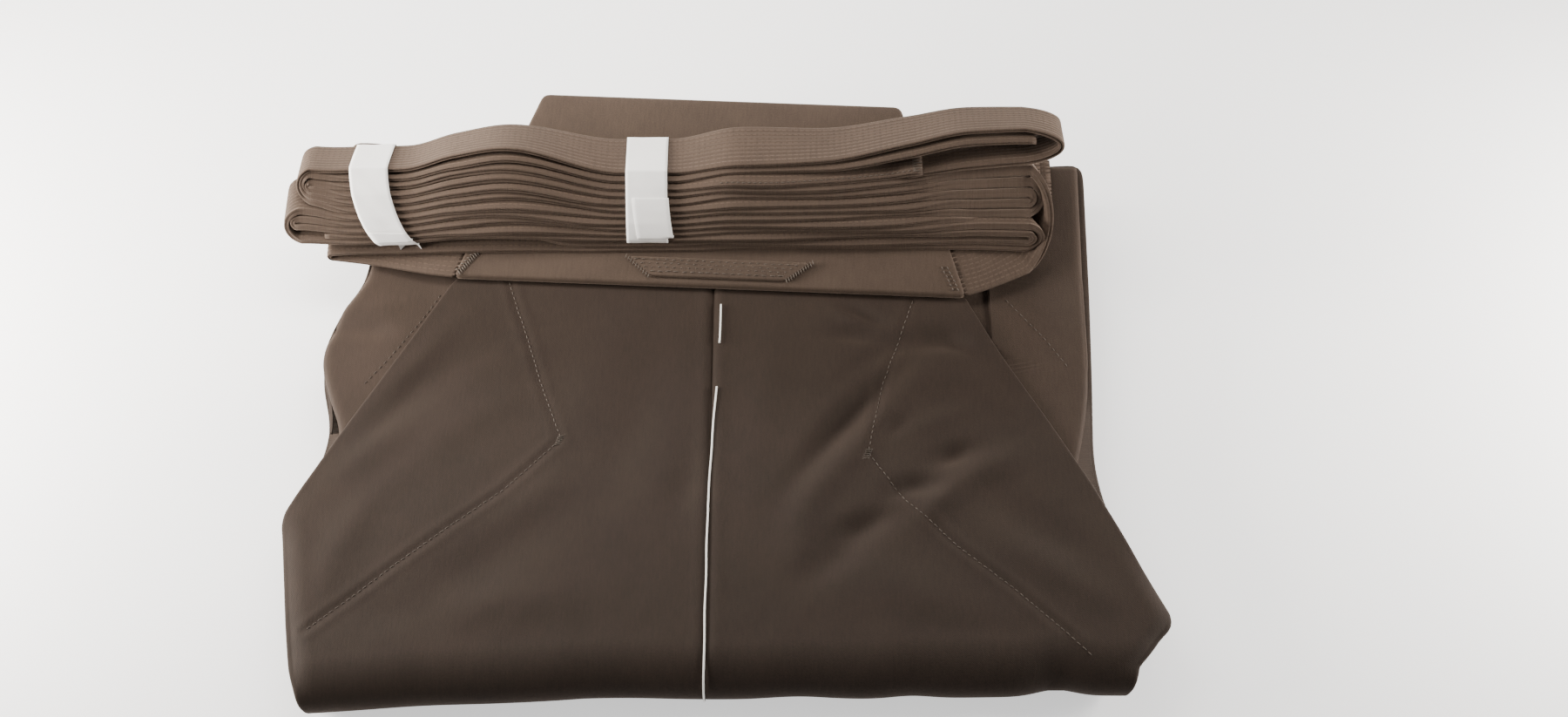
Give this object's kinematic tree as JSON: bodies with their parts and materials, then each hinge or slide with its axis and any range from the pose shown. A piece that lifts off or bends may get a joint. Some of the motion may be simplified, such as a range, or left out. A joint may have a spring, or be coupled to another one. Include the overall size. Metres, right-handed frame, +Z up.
{
  "type": "folded hakama",
  "caption": "Divided hakama folded flat with its back up, quilted ties bundled in paper bands across the stiff back board.",
  "frame": {"origin": "centre of the footprint, on the surface that the folded garment lies on", "axes": "+X to the garment's right as seen from its near fold, along the bundle of ties; +Y from the near fold towards the waist; +Z up"},
  "size_m": [0.4626, 0.364, 0.0968],
  "materials": {
    "cloth": "fine twill with a slight sheen",
    "tie": "the same cloth, quilted in close rows",
    "board": "the same cloth stretched over a stiff board",
    "paper": "smooth uncoated white paper"
  },
  "bodies": {
    "root": {"folded_legs": "cloth", "front_left": "cloth", "front_right": "cloth", "back_left": "cloth", "back_right": "cloth", "front_waist_tie": "tie", "front_tie_left": "tie", "front_tie_right": "tie", "back_tie_left": "tie", "back_tie_right": "tie", "back_board": "board", "board_stay": "board", "paper_band_left": "paper", "paper_band_middle": "paper"}
  },
  "joints": []
}
